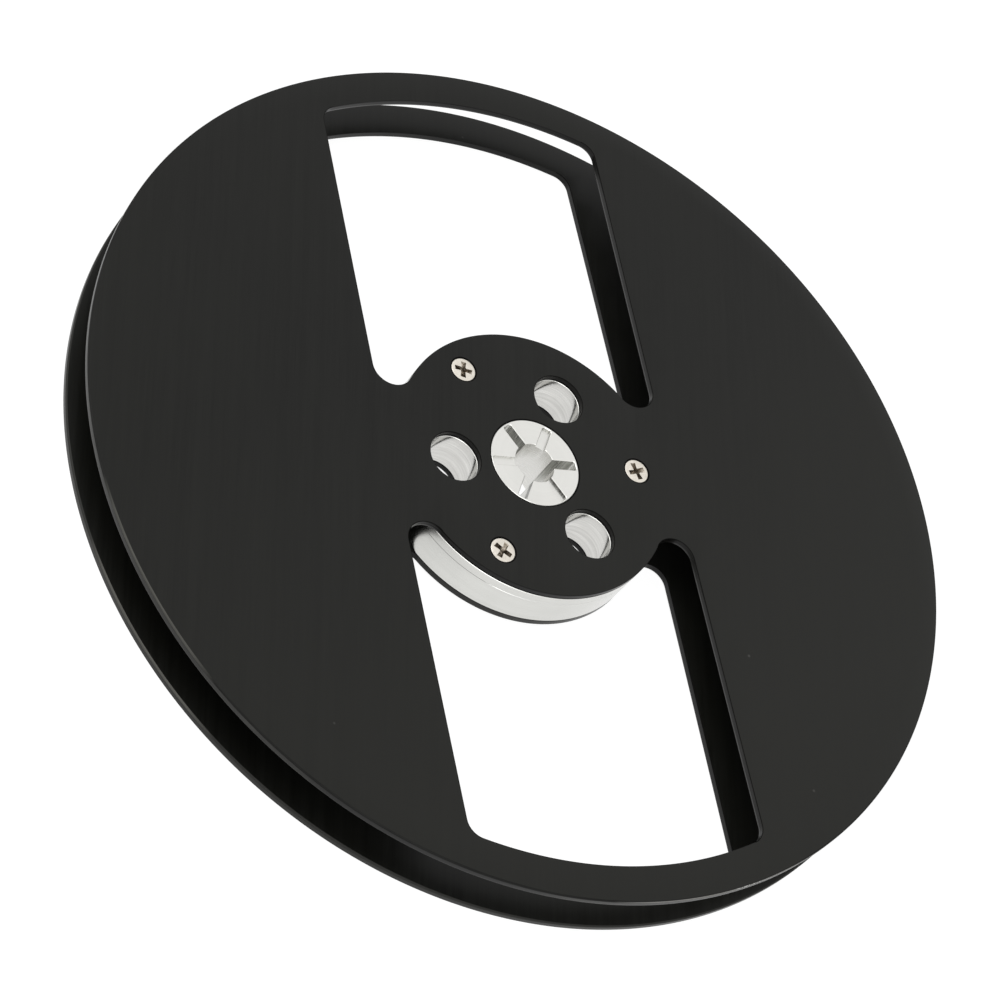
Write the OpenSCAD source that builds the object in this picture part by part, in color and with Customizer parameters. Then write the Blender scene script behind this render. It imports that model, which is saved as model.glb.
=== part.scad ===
// Empty seven inch audio tape reel: two windowed flanges screwed to a turned hub.
// The reel's axis is Z, and Z = 0 is the plane on which the rear flange's rim lies.
// The windows lie towards +Y and -Y, and the first screw of each side towards +X.

/* [Flanges] */
// Outer diameter of the flanges
flange_d = 177.8; // [170:0.1:190]
// Thickness of a flange
flange_t = 1.4; // [1.1:0.05:1.8]
// Chamfer on the edges of a flange's rim and round holes
flange_edge = 0.1; // [0.05:0.05:0.4]
// How far the rim of each flange leans outwards from its flat middle
flange_flare = 0.5; // [0.2:0.05:1]
// Width of the flat band of a flange outside the drum
flat_band = 1.8; // [0.5:0.1:6]
// Clear space between the flanges at the drum, for the tape
tape_gap = 8.5; // [8:0.05:14]

/* [Windows] */
// Width of each window
window_w = 61; // [50:0.5:64]
// Width of the flange's rim outside a window
rim_w = 6.9; // [5:0.1:14]
// Radius of a window's outer corners
corner_r = 3.75; // [2:0.05:8]
// Radius of the lobes where a window runs down beside the hub
lobe_r = 4.1; // [3:0.1:6]

/* [Hub] */
// Diameter of the drum that the tape is wound on, with which the windows' inner arcs are flush
drum_d = 56.4; // [54:0.2:62]
// Diameter of the bosses that come through the flanges
boss_d = 18.5; // [18.2:0.1:20]
// Depth of the boss face below the flange's face
boss_sink = 0.05; // [0.02:0.01:0.3]
// Clearance round a boss in the flange's centre hole
boss_fit = 0.05; // [0.02:0.01:0.2]
// Chamfer on the edges of the drum and the bosses
hub_edge = 0.15; // [0.05:0.01:0.3]
// Distance of the scribed line from the front end of the drum
line_drop = 2.1; // [1:0.1:4]
// Width of the scribed line
line_w = 0.1; // [0.1:0.02:0.4]

/* [Spindle bore] */
// Diameter of the bore
bore_d = 8.2; // [7.9:0.05:9]
// Chamfer at the mouths of the bore
bore_edge = 0.2; // [0.05:0.05:0.4]
// Width of the spindle slots
slot_w = 1.9; // [1.6:0.05:2]
// Distance from the axis to the outer end of a slot
slot_reach = 8.85; // [8:0.05:9]
// Radius of the corners at a slot's outer end
slot_corner_r = 0.5; // [0.2:0.05:0.75]
// Depth of the three shallow slots
shallow_slot_depth = 0.6; // [0.3:0.05:2]
// Chamfer along the edges of the slots
slot_edge = 0.2; // [0.05:0.05:0.25]

/* [Round holes] */
// Diameter of the round holes in the flanges
hole_d = 10.4; // [9:0.1:11]
// Distance from the axis to the middle of a round hole
hole_pitch_r = 16.9; // [16.2:0.1:17.5]
// How far the drum shows as a bright rim inside a flange's round hole
hole_step = 0.12; // [0.05:0.01:0.3]
// Chamfer at the mouths of the drum's round holes
hole_edge = 0.15; // [0.05:0.05:0.4]

/* [Screws] */
// Distance from the drum's side in to the middle of a screw
screw_inset = 5.85; // [4:0.05:7]
// Diameter of the countersunk head
head_d = 5; // [4.4:0.1:5.4]
// Height of the straight edge round the head
head_land = 0.15; // [0.05:0.05:0.2]
// Depth of the head below the flange's face
head_sink = 0.08; // [0.02:0.01:0.2]
// Outer diameter of the thread
thread_d = 2.5; // [2.3:0.1:2.6]
// Pitch of the thread
thread_pitch = 0.45; // [0.4:0.05:0.5]
// Depth of the thread
thread_depth = 0.25; // [0.15:0.01:0.28]
// Length of the screw over the head
screw_len = 5; // [4:0.1:5.3]
// Clearance round a screw in its hole
screw_fit = 0.03; // [0.02:0.01:0.06]
// Width across opposite arms of the cross recess
recess_w = 3.4; // [2.4:0.1:3.6]
// Width of one arm of the cross recess
recess_arm = 0.75; // [0.5:0.05:1]
// Depth of the cross recess
recess_depth = 1.3; // [0.8:0.1:1.6]
// Width across opposite arms at the bottom of the cross recess
recess_tip_w = 1.5; // [0.8:0.1:1.8]
// Turn of each screw's cross recess, as the screws were left when tightened
recess_turns = [15, 46, 82]; // [0:1:90]

/* [Hidden] */
$fn = 120;
// How far a cut runs past what it cuts
past = 1;
// Overlap that makes arcs which touch cross each other cleanly
blend = 0.001;

// The reel has threefold screws and slots, with the round holes between them.
count = 3;
step = 360 / count;

// Heights of the flanges' flat outer faces, of the drum's ends and of the front flange's rim
rear_face = flange_flare;
drum_bottom = rear_face + flange_t;
drum_top = drum_bottom + tape_gap;
front_face = drum_top + flange_t;
total_t = front_face + flange_flare;
boss_bottom = rear_face + boss_sink;
boss_top = front_face - boss_sink;

flange_r = flange_d / 2;
drum_r = drum_d / 2;
flat_r = drum_r + flat_band;
boss_r = boss_d / 2;
boss_hole_r = boss_r + boss_fit;
line_z = drum_top - line_drop;
line_depth = line_w / 2;
bore_r = bore_d / 2;
drum_hole_r = hole_d / 2 - hole_step;

window_side = window_w / 2;
window_r = flange_r - rim_w;
// Middle of the outer corner's arc, which touches the window's side and its outer arc
corner_x = window_side - corner_r;
corner_y = sqrt(pow(window_r - corner_r, 2) - pow(corner_x, 2));
corner_reach = (window_r + past) / (window_r - corner_r);
// Middle of the lobe's arc, which touches the window's side and its inner arc
lobe_x = window_side - lobe_r;
lobe_y = sqrt(pow(drum_r + lobe_r, 2) - pow(lobe_x, 2));
lobe_inner = (drum_r - past) / (drum_r + lobe_r);

screw_pitch_r = drum_r - screw_inset;
head_r = head_d / 2;
thread_r = thread_d / 2;
root_r = thread_r - thread_depth;
cone_h = head_r - thread_r;
neck_z = head_land + cone_h;
thread_turns = floor((screw_len - neck_z - 2 * thread_depth) / thread_pitch);
thread_end = neck_z + thread_turns * thread_pitch;

black = [0.19, 0.19, 0.18];
aluminium = [0.84, 0.84, 0.82];
nickel = [0.87, 0.84, 0.8];

// Angle of screw, slot or round hole number i
function screw_angle(i) = (i - 1) * step;
function hole_angle(i) = (i - 0.5) * step;

// Turns a shape made on the front side over to the rear side
module to_rear() {
    translate([0, 0, total_t]) rotate([180, 0, 0]) children();
}

// Outline of a screw from the middle of its face down to its tip, grown by a clearance
function screw_profile(grow) = concat(
    [[0, 0], [head_r + grow, 0], [head_r + grow, -head_land], [thread_r + grow, -neck_z]],
    [for (i = [0 : thread_turns - 1], half = [1, 2])
        [(half == 1 ? root_r : thread_r) + grow, -neck_z - (i + half / 2) * thread_pitch]],
    [[root_r + grow, -thread_end - thread_depth], [root_r + grow, -screw_len - grow], [0, -screw_len - grow]]
);

module screw_shape(grow) {
    rotate_extrude() polygon(screw_profile(grow));
}

// The space that a front screw takes, open above its head
module screw_space() {
    translate([screw_pitch_r, 0, front_face - head_sink]) {
        screw_shape(screw_fit);
        cylinder(r = head_r + screw_fit, h = head_sink + past);
    }
}

// A cross of two arms, cut to a cone that narrows downwards
module cross_recess() {
    intersection() {
        translate([0, 0, -recess_depth])
            cylinder(h = 2 * recess_depth, d1 = recess_tip_w, d2 = 2 * recess_w - recess_tip_w);
        union() {
            cube([recess_w, recess_arm, 2 * recess_depth], center = true);
            cube([recess_arm, recess_w, 2 * recess_depth], center = true);
        }
    }
}

module screw(turn) {
    color(nickel) difference() {
        screw_shape(0);
        rotate(turn) cross_recess();
    }
}

module front_screw(i) {
    rotate(screw_angle(i)) translate([screw_pitch_r, 0, front_face - head_sink]) screw(recess_turns[i - 1]);
}

module rear_screw(i) {
    to_rear() front_screw(i);
}

// What a window's outer corner keeps of the flange
module corner_fillet() {
    difference() {
        polygon([
            [corner_x, corner_y],
            [window_side + past, corner_y],
            [window_side + past, corner_y * corner_reach],
            [corner_x * corner_reach, corner_y * corner_reach]
        ]);
        translate([corner_x, corner_y]) circle(r = corner_r + blend);
    }
}

// The window towards +Y: straight sides, an arc outside, and a lobe down each side of the hub
module window_outline() {
    difference() {
        intersection() {
            union() {
                polygon([
                    [-lobe_x * lobe_inner, lobe_y * lobe_inner],
                    [-lobe_x, lobe_y],
                    [-window_side, lobe_y],
                    [-window_side, window_r],
                    [window_side, window_r],
                    [window_side, lobe_y],
                    [lobe_x, lobe_y],
                    [lobe_x * lobe_inner, lobe_y * lobe_inner]
                ]);
                for (side = [-1, 1]) translate([side * lobe_x, lobe_y]) circle(r = lobe_r + blend);
            }
            circle(r = window_r);
        }
        circle(r = drum_r);
        for (side = [0, 1]) mirror([side, 0]) corner_fillet();
    }
}

// A round hole with a chamfer at the mouth above it, from z = low up to z = high
module chamfered_hole(r, edge, low, high) {
    translate([0, 0, low - past]) cylinder(r = r, h = high - low + 2 * past);
    translate([0, 0, high - edge]) cylinder(r1 = r, r2 = r + edge + past, h = edge + past);
}

// The front flange, flat as far as the drum and then leaning up towards its rim, with countersinks
module flange() {
    color(black) difference() {
        rotate_extrude() polygon([
            [boss_hole_r, drum_top],
            [flat_r, drum_top],
            [flange_r - flange_edge, drum_top + flange_flare],
            [flange_r, drum_top + flange_flare + flange_edge],
            [flange_r, total_t - flange_edge],
            [flange_r - flange_edge, total_t],
            [flat_r, front_face],
            [boss_hole_r, front_face]
        ]);
        for (turn = [0, 180]) rotate(turn)
            translate([0, 0, drum_top - past]) linear_extrude(total_t - drum_top + 2 * past) window_outline();
        for (i = [1 : count]) rotate(hole_angle(i)) translate([hole_pitch_r, 0, drum_top + flange_t / 2])
            for (side = [0, 1]) mirror([0, 0, side])
                chamfered_hole(hole_d / 2, flange_edge, -flange_t / 2, flange_t / 2);
        for (i = [1 : count]) rotate(screw_angle(i)) screw_space();
    }
}

module front_flange() {
    flange();
}

module rear_flange() {
    to_rear() flange();
}

// The drum and its two bosses as turned, with the scribed line
module hub_turning() {
    rotate_extrude() polygon([
        [0, boss_bottom],
        [boss_r - hub_edge, boss_bottom],
        [boss_r, boss_bottom + hub_edge],
        [boss_r, drum_bottom],
        [drum_r - hub_edge, drum_bottom],
        [drum_r, drum_bottom + hub_edge],
        [drum_r, line_z - line_w / 2],
        [drum_r - line_depth, line_z],
        [drum_r, line_z + line_w / 2],
        [drum_r, drum_top - hub_edge],
        [drum_r - hub_edge, drum_top],
        [boss_r, drum_top],
        [boss_r, boss_top - hub_edge],
        [boss_r - hub_edge, boss_top],
        [0, boss_top]
    ]);
}

// The outline of one spindle slot, from the axis towards +X
module slot_outline() {
    straight = slot_reach - slot_corner_r;
    translate([0, -slot_w / 2]) square([straight, slot_w]);
    translate([0, slot_corner_r - slot_w / 2]) square([slot_reach, slot_w - 2 * slot_corner_r]);
    for (side = [-1, 1]) translate([straight, side * (slot_w / 2 - slot_corner_r)]) circle(r = slot_corner_r);
}

// The chamfer along both edges of a slot at the front boss face
module slot_chamfer() {
    translate([0, 0, boss_top]) rotate([90, 0, 90])
        linear_extrude(slot_reach - slot_corner_r) polygon([
            [-slot_w / 2, -slot_edge],
            [-slot_w / 2 - slot_edge - past, past],
            [slot_w / 2 + slot_edge + past, past],
            [slot_w / 2, -slot_edge]
        ]);
}

// The slots and chamfers of the front boss face
module boss_face_cuts() {
    for (i = [1 : count]) {
        rotate(screw_angle(i)) slot_chamfer();
        rotate(hole_angle(i)) slot_chamfer();
        rotate(hole_angle(i)) translate([0, 0, boss_top - shallow_slot_depth])
            linear_extrude(shallow_slot_depth + past) slot_outline();
    }
}

// Everything that opens towards the front: mouths, slots and tapped holes
module hub_front_cuts() {
    chamfered_hole(bore_r, bore_edge, boss_bottom, boss_top);
    boss_face_cuts();
    for (i = [1 : count]) {
        rotate(hole_angle(i)) translate([hole_pitch_r, 0, 0])
            chamfered_hole(drum_hole_r, hole_edge, drum_bottom, drum_top);
        rotate(screw_angle(i)) screw_space();
    }
}

module hub() {
    color(aluminium) difference() {
        hub_turning();
        hub_front_cuts();
        to_rear() hub_front_cuts();
        for (i = [1 : count]) rotate(screw_angle(i)) translate([0, 0, boss_bottom - past])
            linear_extrude(boss_top - boss_bottom + 2 * past) slot_outline();
    }
}

front_flange();
rear_flange();
hub();
for (i = [1 : count]) front_screw(i);
for (i = [1 : count]) rear_screw(i);
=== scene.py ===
import math
import random

import bmesh
import bpy
from mathutils import Matrix, Vector
from mathutils.geometry import delaunay_2d_cdt

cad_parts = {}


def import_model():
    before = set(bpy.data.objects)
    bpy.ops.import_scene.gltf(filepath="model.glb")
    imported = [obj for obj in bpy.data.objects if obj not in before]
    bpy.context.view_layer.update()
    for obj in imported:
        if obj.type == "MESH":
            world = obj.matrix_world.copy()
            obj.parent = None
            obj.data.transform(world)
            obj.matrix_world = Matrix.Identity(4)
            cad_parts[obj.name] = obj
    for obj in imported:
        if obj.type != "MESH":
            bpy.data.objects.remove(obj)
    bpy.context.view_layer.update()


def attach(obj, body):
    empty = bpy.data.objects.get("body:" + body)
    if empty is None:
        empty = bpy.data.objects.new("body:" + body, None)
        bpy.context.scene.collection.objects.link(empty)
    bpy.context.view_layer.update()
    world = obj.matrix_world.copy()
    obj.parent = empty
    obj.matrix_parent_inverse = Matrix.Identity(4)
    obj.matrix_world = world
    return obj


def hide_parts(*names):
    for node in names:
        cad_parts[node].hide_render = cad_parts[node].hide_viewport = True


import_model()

# Sizes in millimetres, as in part.scad
FLANGE_R = 88.9
FLANGE_T = 1.4
RIM_TOP = (0.3, 0.3)
EDGE = (0.1, 0.1)
WINDOW_TOP = (0.12, 0.05)
HOLE_TOP = (0.1, 0.04)
BOSS_TOP = (0.2, 0.04)
FLARE = 0.5
TAPE_GAP = 8.5
DRUM_BOTTOM = FLARE + FLANGE_T
DRUM_TOP = DRUM_BOTTOM + TAPE_GAP
FRONT_FACE = DRUM_TOP + FLANGE_T
TOTAL = FRONT_FACE + FLARE
WINDOW_SIDE = 30.5
WINDOW_R = FLANGE_R - 6.9
CORNER_R = 3.75
LOBE_R = 4.1
DRUM_R = 28.2
FLAT_R = DRUM_R + 1.8
BOSS_R = 9.25
BOSS_SINK = 0.05
BOSS_HOLE_R = BOSS_R + 0.05
HUB_EDGE = 0.1
LINE_Z = DRUM_TOP - 2.1
LINE_W = 0.1
BORE_R = 4.1
BORE_EDGE = 0.1
SLOT_W = 1.9
SLOT_REACH = 8.85
SLOT_CORNER_R = 0.5
SHALLOW_DEPTH = 0.6
SLOT_EDGE = 0.12
HOLE_R = 5.2
HOLE_PITCH_R = 16.9
DRUM_HOLE_R = HOLE_R - 0.12
HOLE_EDGE = 0.07
SCREW_PITCH_R = DRUM_R - 5.85
HEAD_R = 2.5
HEAD_LAND = 0.15
HEAD_SINK = 0.08
HEAD_ROUND = 0.14
THREAD_R = 1.25
THREAD_DEPTH = 0.25
THREAD_PITCH = 0.45
SCREW_LEN = 5.0
SCREW_FIT = 0.03
NECK = HEAD_LAND + HEAD_R - THREAD_R
RECESS_TURNS = (15, 46, 82)
COUNT = 3
STEP = 2 * math.pi / COUNT

# The mouth of a screw's seat, as (growth, depth)
SEAT_MOUTH = ((0.26, 0), (0.24, 0.015), (0, 0.06))

# A cross recess: half the length and width of its arms at the face and at their floor, how far a driver has
# moved their corners, the corners as shares of the half sizes, and the (radius, z) of its pointed middle
RECESS_HALF = (2.0, 0.58)
RECESS_FLOOR_HALF = (0.8, 0.34)
RECESS_WEAR = (0.16, 0.12)
RECESS_CORNERS = ((-1, -1), (-0.45, -0.8), (0.45, -0.8), (1, -1), (1, 1), (0.45, 0.8), (-0.45, 0.8), (-1, 1))
RECESS_DEPTH = 1.3
RECESS_ABOVE = 0.3
RECESS_MIDDLE = ((0, -1.5), (0.1, -1.5), (0.6, -0.3), (0.75, RECESS_ABOVE), (0, RECESS_ABOVE))

# The inside of a recess: (depth, radius) of its arms and of its middle
RECESS_ZONES = ((0.4, 2.2), (1.6, 1.4))

# How finely the outlines are divided, and how far cutters reach past what they cut
ROUND_STEPS = 4
WALL_BAND = 0.3
LOBE_POINTS = 28
SIDE_POINTS = 12
CORNER_POINTS = 20
OUTER_ARC_POINTS = 90
INNER_ARC_POINTS = 80
RIM_POINTS = 400
BORE_POINTS = 120
HOLE_POINTS = 96
SEAT_POINTS = 64
DRUM_POINTS = 240
SCREW_POINTS = 64
TAPPED_POINTS = 40
RECESS_POINTS = 32
SLOT_CORNER_POINTS = 8
SHEET_POINTS = 120
SHEET_CIRCLES = (FLAT_R, 38, 46, 54, 62, 70, 78, 84.5)
WINDOW_MARGIN = 0.5
OVERCUT = 1
CHAMFER_OVERCUT = 0.5

# Edges sharper than this many degrees stay sharp
FLANGE_CREASE = 30
CUT_CREASE = 24

# The places of the materials in the tuples SHEET with a rim, HUB and SCREW
FACE, WALL, SHADED_EDGE, WINDOW_FOOT, ROUNDING, RIM_WALL = range(6)
TURNED, DEEP_SLOT, DRUM, ROUND_HOLE, SHALLOW_SLOT, SCRIBED, BORED = range(7)
PLATING, RECESS = range(2)

TO_REAR = Matrix.Translation((0, 0, TOTAL)) @ Matrix.Rotation(math.pi, 4, "X")
METRES = Matrix.Scale(0.001, 4)


def screw_angle(i):
    return i * STEP


def hole_angle(i):
    return (i + 0.5) * STEP


def at(r, angle):
    """The point at radius r and angle from the axis."""
    return r * math.cos(angle), r * math.sin(angle)


def arc(cx, cy, r, start, end, n):
    """n points on an arc, its end left out."""
    step = (end - start) / n
    return [(cx + r * math.cos(start + k * step), cy + r * math.sin(start + k * step)) for k in range(n)]


def circle(r, n, cx=0.0, cy=0.0):
    return arc(cx, cy, r, 0, 2 * math.pi, n)


def straight(x, start, end, n):
    """n points on the line at x, from y = start on, its end left out."""
    return [(x, start + (end - start) * k / n) for k in range(n)]


def window(grow):
    """The outline of the window towards +Y, grown by grow, anticlockwise."""
    corner_x = WINDOW_SIDE - CORNER_R
    corner_y = math.sqrt((WINDOW_R - CORNER_R) ** 2 - corner_x ** 2)
    lobe_x = WINDOW_SIDE - LOBE_R
    lobe_y = math.sqrt((DRUM_R + LOBE_R) ** 2 - lobe_x ** 2)
    a = math.atan2(corner_y, corner_x)
    b = math.atan2(lobe_y, lobe_x)
    pi = math.pi
    return (
        arc(lobe_x, lobe_y, LOBE_R + grow, pi + b, 2 * pi, LOBE_POINTS)
        + straight(WINDOW_SIDE + grow, lobe_y, corner_y, SIDE_POINTS)
        + arc(corner_x, corner_y, CORNER_R + grow, 0, a, CORNER_POINTS)
        + arc(0, 0, WINDOW_R + grow, a, pi - a, OUTER_ARC_POINTS)
        + arc(-corner_x, corner_y, CORNER_R + grow, pi - a, pi, CORNER_POINTS)
        + straight(-WINDOW_SIDE - grow, corner_y, lobe_y, SIDE_POINTS)
        + arc(-lobe_x, lobe_y, LOBE_R + grow, pi, 2 * pi - b, LOBE_POINTS)
        + arc(0, 0, DRUM_R - grow, pi - b, b, INNER_ARC_POINTS)
    )


def turned(points, angle):
    c, s = math.cos(angle), math.sin(angle)
    return [(c * x - s * y, s * x + c * y) for x, y in points]


def edge_levels(top, foot):
    """(growth, z) down the wall of a flange's edge or opening.

    top and foot are the width and depth eased off it above and below.
    """
    levels = []
    for (width, depth), face_z, way in ((top, FRONT_FACE, -1), (foot, DRUM_TOP, 1)):
        eased = []
        for k in range(ROUND_STEPS + 1):
            a = k / ROUND_STEPS * math.pi / 2
            eased.append((width * (1 - math.sin(a)), face_z + way * depth * (1 - math.cos(a))))
        eased.append((0, face_z + way * (depth + WALL_BAND)))
        levels += eased[::-way]
    return levels


def edge_materials(top, wall, band, foot):
    """The material of each step down an edge: upper easing, wall, band at the foot, lower easing."""
    return [top] * ROUND_STEPS + [wall, wall, band] + [foot] * ROUND_STEPS


def lean(x, y):
    """How far the front flange rises above its flat middle at (x, y)."""
    return max(0.0, (math.hypot(x, y) - FLAT_R) / (FLANGE_R - EDGE[0] - FLAT_R)) * FLARE


def inside(point, loop):
    """Whether a point is inside a closed loop of points."""
    x, y = point
    hit = False
    for (ax, ay), (bx, by) in zip([loop[-1]] + loop, loop):
        if (ay > y) != (by > y) and x < ax + (y - ay) / (by - ay) * (bx - ax):
            hit = not hit
    return hit


def sheet_points():
    """Points on circles all over the sheet beside the windows, so that it can lean."""
    windows = [turned(window(WINDOW_MARGIN), turn) for turn in (0, math.pi)]
    points = [p for r in SHEET_CIRCLES for p in circle(r, SHEET_POINTS)]
    return [p for p in points if not any(inside(p, w) for w in windows)]


def flange_loops(upside_down):
    """The outer edge of a flange, then its openings, from the outside face to the inside one.

    Each is a list of (points, z), and for each point the material of every step down.
    """
    hole_steps = edge_materials(SHADED_EDGE, WALL, SHADED_EDGE, SHADED_EDGE)
    if upside_down:
        rim_levels = edge_levels(EDGE, RIM_TOP)
        rim_steps = edge_materials(RIM_WALL, RIM_WALL, RIM_WALL, ROUNDING)
        side_steps = edge_materials(WALL, WALL, WALL, SHADED_EDGE)
        outer_steps = edge_materials(WALL, WALL, WALL, WALL)
        inner_steps = edge_materials(SHADED_EDGE, RIM_WALL, RIM_WALL, SHADED_EDGE)
    else:
        rim_levels = edge_levels(RIM_TOP, EDGE)
        rim_steps = edge_materials(ROUNDING, RIM_WALL, RIM_WALL, RIM_WALL)
        side_steps = edge_materials(SHADED_EDGE, WALL, WINDOW_FOOT, WINDOW_FOOT)
        outer_steps = edge_materials(WALL, WALL, WINDOW_FOOT, WINDOW_FOOT)
        inner_steps = edge_materials(WALL, WALL, SHADED_EDGE, SHADED_EDGE)
    side = [side_steps] * (LOBE_POINTS + SIDE_POINTS + CORNER_POINTS)
    outer, inner = [outer_steps] * OUTER_ARC_POINTS, [inner_steps] * (INNER_ARC_POINTS - 1)
    window_steps = [inner_steps] + side + outer + side + inner
    loops = [([(circle(FLANGE_R - g, RIM_POINTS), z) for g, z in rim_levels], [rim_steps] * RIM_POINTS)]
    for turn in (0, math.pi):
        levels = [(turned(window(g), turn), z) for g, z in edge_levels(WINDOW_TOP, EDGE)]
        loops.append((levels, window_steps))
    levels = [(circle(BOSS_HOLE_R + g, BORE_POINTS), z) for g, z in edge_levels(BOSS_TOP, EDGE)]
    loops.append((levels, [hole_steps] * BORE_POINTS))
    seat = HEAD_R + SCREW_FIT
    cone = [(seat + g, FRONT_FACE - depth) for g, depth in SEAT_MOUTH]
    land_z = FRONT_FACE - HEAD_SINK - HEAD_LAND
    cone += [(seat, land_z), (seat - (land_z - DRUM_TOP), DRUM_TOP)]
    for i in range(COUNT):
        x, y = at(HOLE_PITCH_R, hole_angle(i))
        levels = [(circle(HOLE_R + g, HOLE_POINTS, x, y), z) for g, z in edge_levels(HOLE_TOP, EDGE)]
        loops.append((levels, [hole_steps] * HOLE_POINTS))
        x, y = at(SCREW_PITCH_R, screw_angle(i))
        levels = [(circle(r, SEAT_POINTS, x, y), z) for r, z in cone]
        loops.append((levels, [[SHADED_EDGE] * (len(cone) - 1)] * SEAT_POINTS))
    return loops


def fill_face(bm, rows, end, face_z):
    """Fills a flange's outside face (end 0) or inside face (end -1) between the ends of its rows."""
    verts = [bm.verts.new((x, y, face_z + lean(x, y))) for x, y in sheet_points()]
    owner = [None] * len(verts)
    edges = []
    for number, row in enumerate(rows):
        first, size = len(verts), len(row[end])
        verts += row[end]
        owner += [number] * size
        edges += [(first + k, first + (k + 1) % size) for k in range(size)]
    found = delaunay_2d_cdt([v.co.xy for v in verts], edges, [], 1, 1e-7)
    outlines = [[tuple(v.co.xy) for v in row[end]] for row in rows]
    for tri in found[2]:
        corners = [found[3][i][0] for i in tri]
        middle = sum((verts[c].co.xy for c in corners), Vector((0, 0))) / 3
        owners = {owner[c] for c in corners}
        if len(owners) == 1 and (hole := owners.pop()) and inside(middle, outlines[hole]):
            continue
        points = [verts[c] for c in corners]
        bm.faces.new(points if end == 0 else points[::-1]).material_index = FACE


def crease(bm, degrees):
    """Keeps every edge sharper than so many degrees sharp in smooth shading."""
    bm.normal_update()
    for e in bm.edges:
        if e.calc_face_angle(0) > math.radians(degrees):
            e.smooth = False


def flange_mesh(name, matrix, upside_down):
    """A flange with eased edges."""
    loops = flange_loops(upside_down)
    bm = bmesh.new()
    rows = []
    for outlines, _ in loops:
        rows.append([[bm.verts.new((x, y, z + lean(x, y))) for x, y in points] for points, z in outlines])
    for number, (row, (_, steps)) in enumerate(zip(rows, loops)):
        for level, (upper, lower) in enumerate(zip(row, row[1:])):
            for k in range(len(upper)):
                quad = (upper[k - 1], lower[k - 1], lower[k], upper[k])
                quad_face = bm.faces.new(quad if number == 0 else quad[::-1])
                quad_face.material_index = steps[k][level]
    fill_face(bm, rows, 0, FRONT_FACE)
    fill_face(bm, rows, -1, DRUM_TOP)
    crease(bm, FLANGE_CREASE)
    return finish_mesh(bm, name, matrix)


def finish_mesh(bm, name, matrix):
    """Turns a bmesh in millimetres into a smooth-shaded object in metres."""
    bm.transform(METRES @ matrix)
    for f in bm.faces:
        f.smooth = True
    mesh = bpy.data.meshes.new(name)
    bm.to_mesh(mesh)
    bm.free()
    obj = bpy.data.objects.new(name, mesh)
    bpy.context.scene.collection.objects.link(obj)
    return obj


def lathe(profile, n, cx=0.0, cy=0.0):
    """A solid of revolution about the vertical through (cx, cy). Its profile runs up and ends on the axis."""
    bm = bmesh.new()
    rows = []
    for r, z in profile:
        if r == 0:
            rows.append([bm.verts.new((cx, cy, z))])
        else:
            rows.append([bm.verts.new((x, y, z)) for x, y in circle(r, n, cx, cy)])
    for low, high in zip(rows, rows[1:]):
        for k in range(n):
            below = (low[(k - 1) % len(low)], low[k % len(low)])
            ring = list(dict.fromkeys(below + (high[k % len(high)], high[(k - 1) % len(high)])))
            if len(ring) > 2:
                bm.faces.new(ring)
    bmesh.ops.recalc_face_normals(bm, faces=bm.faces)
    return bm


def temporary(bm, collection):
    """An object for a boolean, in collection, that takes over the bmesh."""
    mesh = bpy.data.meshes.new("cutter")
    bm.to_mesh(mesh)
    bm.free()
    obj = bpy.data.objects.new("cutter", mesh)
    collection.objects.link(obj)
    return obj


def cut(body, cutters):
    """body less every cutter, as a bmesh. All are bmeshes in millimetres."""
    holder = bpy.data.collections.new("cutters")
    bpy.context.scene.collection.children.link(holder)
    tools = [temporary(c, holder) for c in cutters]
    target = temporary(body, bpy.context.scene.collection)
    mod = target.modifiers.new("cut", "BOOLEAN")
    mod.operation = "DIFFERENCE"
    mod.operand_type = "COLLECTION"
    mod.collection = holder
    mod.solver = "EXACT"
    mod.use_self = True
    graph = bpy.context.evaluated_depsgraph_get()
    result = bmesh.new()
    result.from_mesh(target.evaluated_get(graph).to_mesh())
    for o in tools + [target]:
        mesh = o.data
        bpy.data.objects.remove(o)
        bpy.data.meshes.remove(mesh)
    bpy.data.collections.remove(holder)
    bmesh.ops.remove_doubles(result, verts=result.verts, dist=1e-4)
    bmesh.ops.dissolve_degenerate(result, edges=result.edges, dist=1e-4)
    crease(result, CUT_CREASE)
    return result


def hole_cutter(r, edge, low, high, x=0.0, y=0.0, n=HOLE_POINTS):
    """A round through hole, chamfered at both mouths."""
    return lathe([(0, low - OVERCUT), (r + edge + OVERCUT, low - OVERCUT), (r, low + edge), (r, high - edge),
                  (r + edge + OVERCUT, high + OVERCUT), (0, high + OVERCUT)], n, x, y)


def slot_outline(grow=0.0):
    """One spindle slot, from the axis towards +X, grown by grow."""
    half, inner, r = SLOT_W / 2, SLOT_REACH - SLOT_CORNER_R, SLOT_CORNER_R
    return ([(0, -half - grow), (inner - 0.1, -half - grow)]
            + arc(inner, r - half, r + grow, -math.pi / 2, 0, SLOT_CORNER_POINTS)
            + [(SLOT_REACH + grow, r - half), (SLOT_REACH + grow, half - r)]
            + arc(inner, half - r, r + grow, 0, math.pi / 2, SLOT_CORNER_POINTS)[1:]
            + [(inner, half + grow), (0, half + grow)])


def loft(bottom, top, low, high, matrix=Matrix()):
    """A closed solid between two outlines with as many points."""
    bm = bmesh.new()
    lower = [bm.verts.new((x, y, low)) for x, y in bottom]
    upper = [bm.verts.new((x, y, high)) for x, y in top]
    bm.faces.new(lower[::-1])
    bm.faces.new(upper)
    for k in range(len(lower)):
        bm.faces.new((lower[k - 1], lower[k], upper[k], upper[k - 1]))
    bm.transform(matrix)
    bmesh.ops.recalc_face_normals(bm, faces=bm.faces)
    return bm


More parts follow.
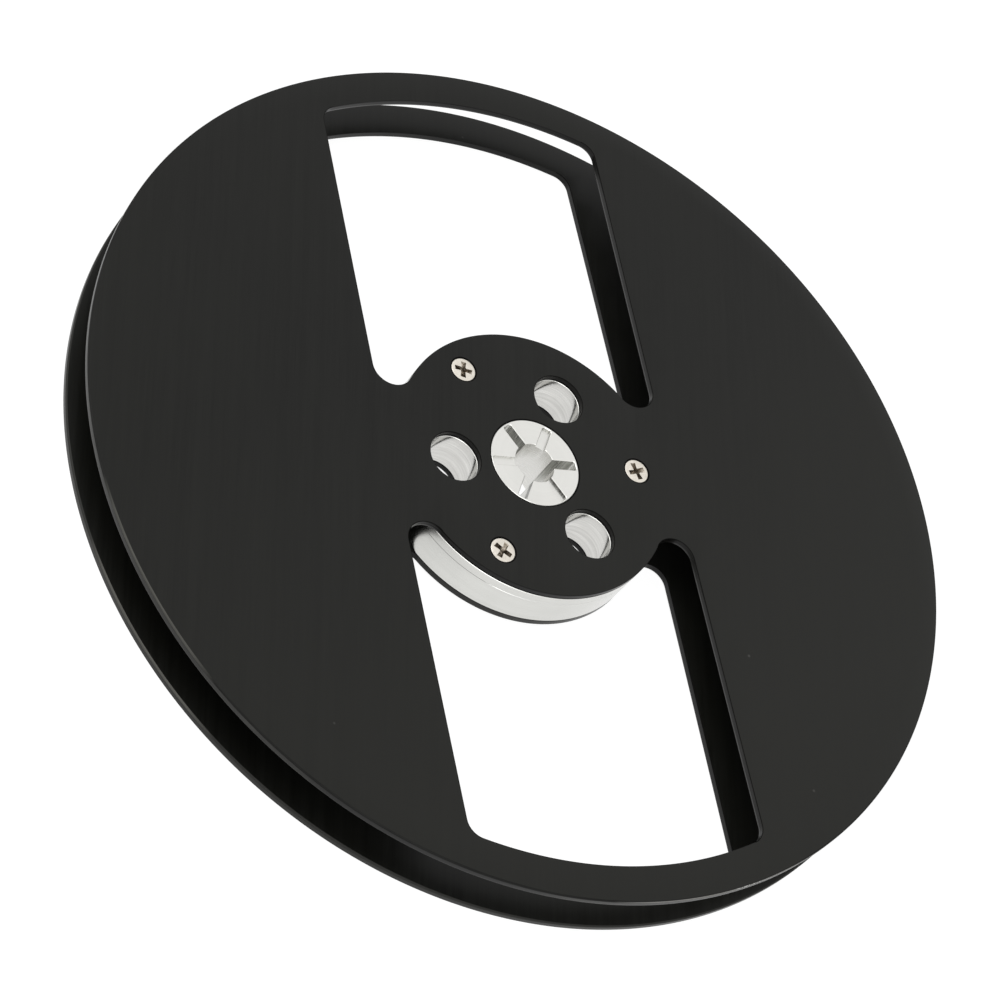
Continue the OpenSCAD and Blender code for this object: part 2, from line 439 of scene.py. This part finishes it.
def hub_material(face):
    """The place in HUB of the material of one of the hub's faces, from where the face lies."""
    middle = face.calc_center_median()
    r = middle.xy.length
    on_drum = r > DRUM_R - 0.5
    if on_drum and abs(middle.z - LINE_Z) < LINE_W / 2:
        return SCRIBED
    if abs(face.normal.z) > 0.5:
        return TURNED
    if on_drum:
        return DRUM
    if BORE_R + 0.05 < r < BOSS_R - 0.05:
        turn = math.atan2(middle.y, middle.x) % STEP
        return DEEP_SLOT if min(turn, STEP - turn) < STEP / 4 else SHALLOW_SLOT
    if r < HOLE_PITCH_R + HOLE_R:
        return BORED if r < BOSS_R else ROUND_HOLE
    return TURNED


def hub_mesh(name):
    """The hub, with the bore, slots, round holes and tapped holes cut out of a turned body."""
    low, high = FLARE + BOSS_SINK, FRONT_FACE - BOSS_SINK
    body = lathe([
        (0, low), (BOSS_R - HUB_EDGE, low), (BOSS_R, low + HUB_EDGE), (BOSS_R, DRUM_BOTTOM),
        (DRUM_R - HUB_EDGE, DRUM_BOTTOM), (DRUM_R, DRUM_BOTTOM + HUB_EDGE), (DRUM_R, LINE_Z - LINE_W / 2),
        (DRUM_R - LINE_W / 2, LINE_Z), (DRUM_R, LINE_Z + LINE_W / 2), (DRUM_R, DRUM_TOP - HUB_EDGE),
        (DRUM_R - HUB_EDGE, DRUM_TOP), (BOSS_R, DRUM_TOP), (BOSS_R, high - HUB_EDGE),
        (BOSS_R - HUB_EDGE, high), (0, high)], DRUM_POINTS)
    cutters = [hole_cutter(BORE_R, BORE_EDGE, low, high, n=BORE_POINTS)]
    tapped_r = THREAD_R + SCREW_FIT
    tip = FRONT_FACE - HEAD_SINK - SCREW_LEN - SCREW_FIT
    neck = FRONT_FACE - HEAD_SINK - NECK
    slot = slot_outline()
    mouth = slot_outline(SLOT_EDGE + CHAMFER_OVERCUT)
    for i in range(COUNT):
        deep = Matrix.Rotation(screw_angle(i), 4, "Z")
        shallow = Matrix.Rotation(hole_angle(i), 4, "Z")
        cutters.append(loft(slot, slot, low - OVERCUT, high + OVERCUT, deep))
        x, y = at(HOLE_PITCH_R, hole_angle(i))
        cutters.append(hole_cutter(DRUM_HOLE_R, HOLE_EDGE, DRUM_BOTTOM, DRUM_TOP, x, y))
        x, y = at(SCREW_PITCH_R, screw_angle(i))
        for side in (Matrix(), TO_REAR):
            cutters.append(loft(slot, slot, high - SHALLOW_DEPTH, high + OVERCUT, side @ shallow))
            for turn in (deep, shallow):
                cutters.append(loft(slot, mouth, high - SLOT_EDGE, high + CHAMFER_OVERCUT, side @ turn))
            tapped = lathe([(0, tip), (tapped_r, tip), (tapped_r, neck), (HEAD_R, neck + HEAD_R - tapped_r),
                            (0, TOTAL)], TAPPED_POINTS, x, y)
            tapped.transform(side)
            cutters.append(tapped)
    bm = cut(body, cutters)
    for f in bm.faces:
        f.material_index = hub_material(f)
    return finish_mesh(bm, name, Matrix())


def recess_arm(turn, rough):
    """One bar of the cross recess, smaller towards its bottom. A worn driver has moved its corners about."""
    (half_x, half_y), (low_x, low_y), (wear_x, wear_y) = RECESS_HALF, RECESS_FLOOR_HALF, RECESS_WEAR
    worn = [(x * half_x + rough.uniform(-wear_x, wear_x), y * half_y + rough.uniform(-wear_y, wear_y))
            for x, y in RECESS_CORNERS]
    low = [(x * low_x, y * low_y) for x, y in RECESS_CORNERS]
    return loft(low, worn, -RECESS_DEPTH, RECESS_ABOVE, Matrix.Rotation(turn, 4, "Z"))


def in_recess(place):
    """Whether a point of a screw is inside its recess."""
    return place.z < -1e-3 and any(place.z > -depth and place.xy.length < r for depth, r in RECESS_ZONES)


def screw_mesh(name, matrix):
    """A countersunk screw, its face at z = 0."""
    rough = random.Random(name)
    root = THREAD_R - THREAD_DEPTH
    turns = int((SCREW_LEN - NECK - 2 * THREAD_DEPTH) / THREAD_PITCH)
    end = NECK + turns * THREAD_PITCH
    profile = [(0, -SCREW_LEN), (root, -SCREW_LEN), (root, -end - THREAD_DEPTH)]
    for i in range(turns):
        z = -end + i * THREAD_PITCH
        profile += [(THREAD_R, z), (root, z + THREAD_PITCH / 2)]
    profile += [(THREAD_R, -NECK), (HEAD_R, -HEAD_LAND), (HEAD_R, -HEAD_ROUND),
                (HEAD_R - 0.3 * HEAD_ROUND, -0.3 * HEAD_ROUND), (HEAD_R - HEAD_ROUND, 0), (0, 0)]
    middle = lathe(RECESS_MIDDLE, RECESS_POINTS)
    bm = cut(lathe(profile, SCREW_POINTS), [recess_arm(0, rough), recess_arm(math.pi / 2, rough), middle])
    for f in bm.faces:
        f.material_index = RECESS if in_recess(f.calc_center_median()) else PLATING
    return finish_mesh(bm, name, matrix)


class Graph:
    """A node material with one Principled shader, built by short calls."""

    def __init__(self, name):
        self.mat = bpy.data.materials.new(name)
        self.mat.use_nodes = True
        self.tree = self.mat.node_tree
        self.shader = self.tree.nodes["Principled BSDF"]
        place = self.add("ShaderNodeTexCoord").outputs["Object"]
        scale = self.add("ShaderNodeVectorMath", operation="SCALE", link={0: place}, put={"Scale": 1000})
        self.mm = scale.outputs[0]

    def add(self, kind, link=None, put=None, **settings):
        node = self.tree.nodes.new(kind)
        for key, value in settings.items():
            setattr(node, key, value)
        for key, value in (put or {}).items():
            node.inputs[key].default_value = value
        for key, value in (link or {}).items():
            self.tree.links.new(value, node.inputs[key])
        return node

    def noise(self, size, detail=2.0, turn=0.0, vector=None):
        """Noise whose features are about size = (x, y, z) millimetres, turned by turn degrees about Z."""
        spun = self.add("ShaderNodeVectorRotate", rotation_type="Z_AXIS", link={"Vector": vector or self.mm},
                        put={"Angle": math.radians(turn)}).outputs[0]
        scaled = self.add("ShaderNodeVectorMath", operation="DIVIDE", link={0: spun}, put={1: size})
        put = {"Scale": 1.0, "Detail": detail}
        return self.add("ShaderNodeTexNoise", link={"Vector": scaled.outputs[0]}, put=put).outputs["Fac"]

    def span(self, value, low, high, a=0.0, b=1.0):
        """value from low to high, mapped to a to b and kept there."""
        return self.add("ShaderNodeMapRange", link={"Value": value},
                        put={"From Min": low, "From Max": high, "To Min": a, "To Max": b}).outputs[0]

    def along(self, direction):
        """The object's own place along a direction, in millimetres."""
        link, put = {0: self.mm}, {1: direction}
        return self.add("ShaderNodeVectorMath", link, put, operation="DOT_PRODUCT").outputs["Value"]

    def math(self, op, a, b):
        node = self.add("ShaderNodeMath", operation=op)
        for socket, value in ((node.inputs[0], a), (node.inputs[1], b)):
            if isinstance(value, (int, float)):
                socket.default_value = value
            else:
                self.tree.links.new(value, socket)
        return node.outputs[0]

    def blend(self, factor, a, b):
        """Colour a where factor is 0, b where it is 1."""
        node = self.add("ShaderNodeMix", data_type="RGBA")
        for key, value in ((0, factor), (6, a), (7, b)):
            if isinstance(value, tuple):
                node.inputs[key].default_value = value + (1.0,)
            else:
                self.tree.links.new(value, node.inputs[key])
        return node.outputs[2]

    def set(self, **values):
        for key, value in values.items():
            key = key.replace("_", " ")
            if isinstance(value, bpy.types.NodeSocket):
                self.tree.links.new(value, self.shader.inputs[key])
            elif isinstance(value, tuple):
                self.shader.inputs[key].default_value = value + (1.0,)
            else:
                self.shader.inputs[key].default_value = value
        return self

    def bump(self, height, depth):
        """height 0 to 1 as a bump of depth millimetres."""
        put = {"Strength": 1.0, "Distance": depth / 1000}
        node = self.add("ShaderNodeBump", link={"Height": height}, put=put)
        self.tree.links.new(node.outputs[0], self.shader.inputs["Normal"])
        return self


# Looks: the anodised sheet's grain and painted light, and where the rims have painted highlights, painted
# reflection and chips, in degrees round the axis
BLACK = "black_anodised_"
BRUSH_TURN = 12.0
# The direction towards which the front face's painted light grows
LIT_TOWARDS = (0.35, -0.94, 0)
ANODISED_IOR = 1.33
FRONT_HIGHLIGHT_AT = -160.0
REAR_HIGHLIGHT_AT = -156.0
HIGHLIGHT_HALF = 12.0
BRIGHT_LINE_AT = -78.0
BRIGHT_LINE_HALF = 13.0
CHIPS_AT = -74.0
CHIPS_HALF = 2.5
DARK_REFLECTION_AT = -116.0
DARK_REFLECTION_HALF = 16.0
UP = (0, 0, 1)


def specks(g, size, share):
    """A few small dust specks: 1 on a speck, 0 beside it."""
    cells = g.add("ShaderNodeTexVoronoi", feature="F1", link={"Vector": g.mm}, put={"Scale": 1 / size})
    small = g.span(cells.outputs["Distance"], 0.02, 0.05, 1.0, 0.0)
    chosen = g.add("ShaderNodeSeparateColor", link={"Color": cells.outputs["Color"]}).outputs[0]
    return g.math("MULTIPLY", small, g.math("GREATER_THAN", chosen, 1 - share))


def black_face():
    """Black anodised sheet with a fine straight grain. The front flange's outside carries painted light,
    lighter towards -Y.
    """
    g = Graph(BLACK + "face")
    fine = g.noise((0.16, 14.0, 4.0), 3.0, BRUSH_TURN)
    long = g.noise((0.9, 60.0, 8.0), 2.0, BRUSH_TURN)
    cloud = g.noise((34.0, 60.0, 20.0), 2.0, BRUSH_TURN)
    grain = g.math("ADD", g.math("MULTIPLY", fine, 0.6), g.math("MULTIPLY", long, 0.4))
    shade = g.blend(g.span(grain, 0.3, 0.7), (0.0006, 0.0006, 0.0002), (0.0068, 0.0069, 0.0058))
    cloudy = g.blend(g.span(cloud, 0.35, 0.65, 0.0, 0.5), shade, (0.0060, 0.0062, 0.0046))
    front = g.span(g.along(UP), DRUM_TOP + 0.4, DRUM_TOP + 0.8, 0.0, 0.6)
    # Painted light: a broad gradient, lighter towards -Y, on the front flange's outside
    near = g.span(g.along(LIT_TOWARDS), -30.0, 60.0)
    painted_light = g.blend(g.math("MULTIPLY", front, near), cloudy, (0.0150, 0.0151, 0.0128))
    colour = g.blend(g.math("MULTIPLY", specks(g, 7.5, 0.18), 0.13), painted_light, (0.35, 0.35, 0.33))
    rough = g.span(grain, 0.3, 0.7, 0.36, 0.46)
    g.set(Base_Color=colour, Roughness=rough, IOR=ANODISED_IOR, Specular_IOR_Level=0.385)
    return g.bump(grain, 0.0014).mat


def edge_lines(g):
    """The fine lines that a tool leaves along an edge."""
    return g.noise((9.0, 9.0, 0.12), 3.0)


def edge_cloud(g):
    return g.noise((5.0, 5.0, 2.0), 3.0)


def black_edge(name, dark, light, rough, level, ior=ANODISED_IOR):
    """The milled and turned edges of a flange, with fine lines along them."""
    g = Graph(name)
    lines = edge_lines(g)
    worn = edge_cloud(g)
    shade = g.blend(g.span(lines, 0.3, 0.7), dark, light)
    colour = g.blend(g.span(worn, 0.5, 0.75, 0.0, 0.5), shade, tuple(1.5 * v for v in light))
    g.set(Base_Color=colour, Roughness=g.span(lines, 0.3, 0.7, rough - 0.05, rough + 0.07), IOR=ior,
          Specular_IOR_Level=level)
    return g.bump(lines, 0.002).mat


def stretch(g, angle, half):
    """1 on the stretch of the rim half degrees either side of angle, 0 well away from it."""
    a, depth = math.radians(angle), FLANGE_R * (1 - math.cos(math.radians(half)))
    return g.span(g.along((math.cos(a), math.sin(a), 0)), FLANGE_R - 1.35 * depth, FLANGE_R - 0.65 * depth)


def rim_rounding(name, plain, worn, angle, painted_line_and_chips=False):
    """The rounding of a rim, with a painted highlight, a lighter colour, on the stretch at angle.

    With the flag set it also has a painted highlight, a thin bright line on one stretch of it, and chips at
    CHIPS_AT.
    """
    g = Graph(name)
    lines = edge_lines(g)
    # Painted highlight: the colour given as worn is painted on the stretch at angle
    shade = g.blend(stretch(g, angle, HIGHLIGHT_HALF), plain, worn)
    colour = g.blend(g.span(lines, 0.3, 0.7, 0.0, 0.4), shade, (0.02, 0.02, 0.018))
    if painted_line_and_chips:
        # Painted highlight: a thin bright line along the outer edge of one stretch
        outer = g.span(g.along(UP), TOTAL - 0.12, TOTAL - 0.08, 1.0, 0.0)
        lit = g.blend(outer, (0.014, 0.0139, 0.0128), (0.3, 0.297, 0.279))
        colour = g.blend(stretch(g, BRIGHT_LINE_AT, BRIGHT_LINE_HALF), colour, lit)
        grit = g.math("GREATER_THAN", g.noise((0.5, 0.5, 0.5), 1.0), 0.58)
        chips = g.math("MULTIPLY", stretch(g, CHIPS_AT, CHIPS_HALF), grit)
        colour = g.blend(chips, colour, (0.8, 0.8, 0.77))
    g.set(Base_Color=colour, Roughness=0.5, IOR=ANODISED_IOR, Specular_IOR_Level=0.26)
    return g.bump(lines, 0.002).mat


def rim_wall(name, reflection_share):
    """The turned wall of a rim. On one stretch its colour is a given share of a middle grey, a painted dark
    reflection.
    """
    g = Graph(name)
    lines = edge_lines(g)
    worn = edge_cloud(g)
    shade = g.blend(g.span(lines, 0.3, 0.7), (0.018, 0.018, 0.016), (0.038, 0.0375, 0.0335))
    colour = g.blend(g.span(worn, 0.5, 0.75, 0.0, 0.5), shade, (0.057, 0.056, 0.050))
    middle_grey = tuple(reflection_share * v for v in (0.028, 0.0277, 0.0247))
    # Painted dark reflection: the wall is painted a darker grey on one stretch
    colour = g.blend(stretch(g, DARK_REFLECTION_AT, DARK_REFLECTION_HALF), colour, middle_grey)
    rough = g.span(lines, 0.3, 0.7, 0.25, 0.37)
    g.set(Base_Color=colour, Roughness=rough, IOR=ANODISED_IOR, Specular_IOR_Level=0.34)
    return g.bump(lines, 0.002).mat


def turned_metal(name, bright, dark, rough, ring_size=0.09, bored=False):
    """Turned aluminium: fine rings round the axis, or round the axis of a bored hole."""
    g = Graph(name)
    flat = g.add("ShaderNodeVectorMath", operation="MULTIPLY", link={0: g.mm}, put={1: (1, 1, 0)}).outputs[0]
    radius = g.add("ShaderNodeVectorMath", operation="LENGTH", link={0: flat}).outputs["Value"]
    x, z = g.along((1, 0, 0)), g.along(UP)
    around = g.add("ShaderNodeCombineXYZ", link={0: z if bored else radius, 1: z, 2: x}).outputs[0]
    rings = g.noise((ring_size, ring_size, 5.0 if bored else 40.0), 2.0, 0.0, around)
    broad = g.noise((1.2, 1.2, 30.0), 2.0, 0.0, around)
    cloud = g.noise((6.0, 6.0, 6.0), 3.0)
    tone = g.math("ADD", g.math("MULTIPLY", rings, 0.5), g.math("MULTIPLY", broad, 0.5))
    colour = g.blend(g.span(tone, 0.3, 0.7), dark, bright)
    colour = g.blend(g.span(cloud, 0.45, 0.8, 0.0, 0.35), colour, tuple(0.92 * v for v in dark))
    g.set(Base_Color=colour, Metallic=1.0, Roughness=g.span(tone, 0.25, 0.75, rough - 0.04, rough + 0.06))
    return g.bump(rings, 0.0016).mat


def scribed_metal():
    """The scribed line round the drum, with a painted reflection: dark on one stretch, a painted glint on the
    next and faint on the rest.
    """
    g = Graph("scribed_aluminium")
    x = g.along((1, 0, 0))
    # Painted reflection: dark on one stretch of the line, a painted glint on the next
    dark_then_glint = g.blend(g.span(x, -14.5, -12.0), (0.07, 0.07, 0.065), (0.82, 0.82, 0.8))
    faint = g.blend(g.span(x, -10.0, -5.0), dark_then_glint, (0.62, 0.62, 0.6))
    return g.set(Base_Color=faint, Metallic=1.0, Roughness=0.4).mat


def milled_lines(g):
    """The upright lines that a milling cutter leaves, from 0 to 1."""
    return g.span(g.noise((0.2, 0.2, 9.0), 2.0), 0.35, 0.65)


def deep_slot_wall():
    """Milled walls with upright lines, and a darker upper band in the slot towards -X and -Y."""
    g = Graph("milled_deep_slot")
    lines = milled_lines(g)
    y, z = g.along((0, 1, 0)), g.along(UP)
    band = g.math("MULTIPLY", g.span(y, -1.4, -1.1, 1.0, 0.0), g.span(z, FRONT_FACE - 2.0, FRONT_FACE - 1.6))
    colour = g.blend(band, g.blend(lines, (0.56, 0.56, 0.54), (0.93, 0.93, 0.9)), (0.26, 0.26, 0.25))
    g.set(Base_Color=colour, Metallic=1.0, Roughness=g.span(lines, 0.0, 1.0, 0.26, 0.42))
    return g.bump(lines, 0.004).mat


def shallow_slot_wall():
    """Milled walls with painted light and shade: pale in the slot towards -X, greyer in the one towards +Y,
    dark in the last.
    """
    g = Graph("milled_shallow_slot")
    lines = milled_lines(g)
    y = g.along((0, 1, 0))
    pale = g.blend(lines, (0.62, 0.62, 0.6), (0.88, 0.88, 0.85))
    grey = g.blend(lines, (0.16, 0.16, 0.15), (0.5, 0.5, 0.48))
    dark = g.blend(lines, (0.04, 0.04, 0.037), (0.22, 0.22, 0.21))
    # Painted light and shade: one tone for each of the three alike slots
    colour = g.blend(g.span(y, 1.0, 3.0), g.blend(g.span(y, -3.0, -1.0), dark, pale), grey)
    g.set(Base_Color=colour, Metallic=1.0, Roughness=g.span(lines, 0.0, 1.0, 0.26, 0.42))
    return g.bump(lines, 0.004).mat


def nickel(name, bright, dark, rough, low, high):
    """Nickel plating scuffed by the driver, from dark to bright as the scuffs rise from low to high."""
    g = Graph(name)
    scuff = g.noise((0.35, 0.12, 0.3), 4.0, 35.0)
    cloud = g.noise((0.8, 0.8, 0.8), 3.0)
    tone = g.math("ADD", g.math("MULTIPLY", scuff, 0.5), g.math("MULTIPLY", cloud, 0.5))
    g.set(Base_Color=g.blend(g.span(tone, low, high), dark, bright), Metallic=1.0,
          Roughness=g.span(scuff, 0.3, 0.7, rough, rough + 0.14))
    return g.bump(scuff, 0.006).mat


SHEET = (
    black_face(),
    black_edge(BLACK + "wall", (0.004, 0.004, 0.0035), (0.011, 0.0108, 0.0097), 0.28, 0.28),
    # Painted shade: a darker, barely glossy edge at the mouths of the holes and seats, along some window
    # edges and at the joints with the drum
    black_edge(BLACK + "shaded_edge", (0.002, 0.002, 0.0018), (0.004, 0.004, 0.0035), 0.5, 0.06),
    black_edge(BLACK + "window_foot", (0.005, 0.005, 0.0044), (0.0115, 0.0113, 0.0102), 0.3, 0.37, 1.5),
)
# The second colour of each rounding is its painted highlight
FRONT_RIM = (
    rim_rounding(BLACK + "front_rounding", (0.004, 0.004, 0.0035), (0.095, 0.094, 0.084), FRONT_HIGHLIGHT_AT,
                 painted_line_and_chips=True),
    rim_wall(BLACK + "front_rim_wall", 0.3),
)
REAR_RIM = (
    rim_rounding(BLACK + "rear_rounding", (0.032, 0.032, 0.029), (0.13, 0.128, 0.115), REAR_HIGHLIGHT_AT),
    rim_wall(BLACK + "rear_rim_wall", 1.0),
)
HUB = (
    turned_metal("turned_aluminium", (0.76, 0.755, 0.725), (0.725, 0.72, 0.69), 0.33),
    deep_slot_wall(),
    turned_metal("drum_aluminium", (0.665, 0.665, 0.64), (0.605, 0.605, 0.58), 0.20),
    turned_metal("bored_aluminium", (0.77, 0.765, 0.74), (0.53, 0.525, 0.505), 0.13, 0.6, True),
    shallow_slot_wall(),
    scribed_metal(),
    turned_metal("bore_aluminium", (0.745, 0.74, 0.715), (0.69, 0.685, 0.66), 0.25, 0.3, True),
)
SCREW = (
    nickel("nickel_plating", (0.80, 0.755, 0.685), (0.66, 0.615, 0.54), 0.30, 0.35, 0.65),
    nickel("nickel_recess", (0.72, 0.65, 0.56), (0.15, 0.127, 0.098), 0.34, 0.46, 0.66),
)


def dress(obj, node, materials):
    """Gives an object its materials, hides the node that it replaces, and attaches it to the root body."""
    for m in materials:
        obj.data.materials.append(m)
    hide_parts(node)
    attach(obj, "root")


dress(flange_mesh("front_flange_form", Matrix(), False), "front_flange", SHEET + FRONT_RIM)
dress(flange_mesh("rear_flange_form", TO_REAR, True), "rear_flange", SHEET + REAR_RIM)
dress(hub_mesh("hub_form"), "hub", HUB)
for i in range(COUNT):
    spot = Matrix.Rotation(screw_angle(i), 4, "Z")
    spot = spot @ Matrix.Translation((SCREW_PITCH_R, 0, FRONT_FACE - HEAD_SINK))
    spot = spot @ Matrix.Rotation(math.radians(RECESS_TURNS[i]), 4, "Z")
    for side, matrix in (("front", Matrix()), ("rear", TO_REAR)):
        node = f"{side}_screw_{i + 1}"
        dress(screw_mesh(node + "_form", matrix @ spot), node, SCREW)


# The stage, in metres, with the camera's roll in degrees and its lens and sensor in millimetres
FLOOR_HALF = 6.0
FLOOR_Z = -0.00002
CAMERA_PLACE = (-0.294978, -0.274424, 0.443966)
CAMERA_AIM = (-0.009459, -0.008883, 0.0118)
CAMERA_ROLL = 42.917
LENS = 113.83
SENSOR = 36.0
SHIFT = (-0.0005, 0.0005)
CLIP_START = 0.01


def seen(tree, shown, hidden):
    """A strength of shown for the camera and for what gloss and glass show, and hidden for other light."""
    path = tree.nodes.new("ShaderNodeLightPath")
    total = path.outputs["Is Camera Ray"]
    for name in ("Is Glossy Ray", "Is Transmission Ray"):
        add = tree.nodes.new("ShaderNodeMath")
        add.operation = "MAXIMUM"
        tree.links.new(total, add.inputs[0])
        tree.links.new(path.outputs[name], add.inputs[1])
        total = add.outputs[0]
    span = tree.nodes.new("ShaderNodeMapRange")
    tree.links.new(total, span.inputs["Value"])
    span.inputs["To Min"].default_value = hidden
    span.inputs["To Max"].default_value = shown
    return span.outputs[0]


def floor():
    """A plain pale floor just under the part, which glows evenly where the camera sees it."""
    mesh = bpy.data.meshes.new("floor")
    s = FLOOR_HALF
    mesh.from_pydata([(-s, -s, 0), (s, -s, 0), (s, s, 0), (-s, s, 0)], [], [(0, 1, 2, 3)])
    obj = bpy.data.objects.new("floor", mesh)
    obj.location.z = FLOOR_Z
    bpy.context.scene.collection.objects.link(obj)
    mat = bpy.data.materials.new("pale_floor")
    mat.use_nodes = True
    tree = mat.node_tree
    tree.nodes.clear()
    out = tree.nodes.new("ShaderNodeOutputMaterial")
    diffuse = tree.nodes.new("ShaderNodeBsdfDiffuse")
    diffuse.inputs["Color"].default_value = (0.2, 0.2, 0.2, 1)
    glow = tree.nodes.new("ShaderNodeEmission")
    tree.links.new(seen(tree, 0.92, 0.0), glow.inputs["Strength"])
    both = tree.nodes.new("ShaderNodeAddShader")
    tree.links.new(diffuse.outputs[0], both.inputs[0])
    tree.links.new(glow.outputs[0], both.inputs[1])
    tree.links.new(both.outputs[0], out.inputs["Surface"])
    obj.data.materials.append(mat)


def world():
    """White all round, less strong as a light than it looks."""
    scene_world = bpy.data.worlds.new("studio")
    bpy.context.scene.world = scene_world
    scene_world.use_nodes = True
    tree = scene_world.node_tree
    back = tree.nodes["Background"]
    back.inputs["Color"].default_value = (1, 1, 1, 1)
    tree.links.new(seen(tree, 1.0, 0.4), back.inputs["Strength"])


def soft_light(name, place, size, power):
    """A round area light that points at the origin."""
    light = bpy.data.lights.new(name, "AREA")
    light.shape = "DISK"
    light.size = size
    light.energy = power
    obj = bpy.data.objects.new(name, light)
    obj.location = place
    obj.rotation_euler = (-Vector(place)).to_track_quat("-Z", "Y").to_euler()
    bpy.context.scene.collection.objects.link(obj)


def camera():
    """The camera, placed and aimed as the photograph's was."""
    data = bpy.data.cameras.new("camera")
    data.sensor_width = SENSOR
    data.lens = LENS
    data.shift_x, data.shift_y = SHIFT
    data.clip_start = CLIP_START
    obj = bpy.data.objects.new("camera", data)
    place, aim = Vector(CAMERA_PLACE), Vector(CAMERA_AIM)
    roll = Matrix.Rotation(math.radians(CAMERA_ROLL), 4, "Z")
    turn = (aim - place).to_track_quat("-Z", "Y").to_matrix().to_4x4()
    obj.matrix_world = Matrix.Translation(place) @ turn @ roll
    bpy.context.scene.collection.objects.link(obj)
    bpy.context.scene.camera = obj


floor()
world()
soft_light("key", (-0.55, 0.45, 0.9), 0.9, 6.0)
soft_light("fill", (-0.25, -0.75, 0.75), 0.9, 4.0)
camera()
bpy.context.scene.view_settings.view_transform = "Standard"
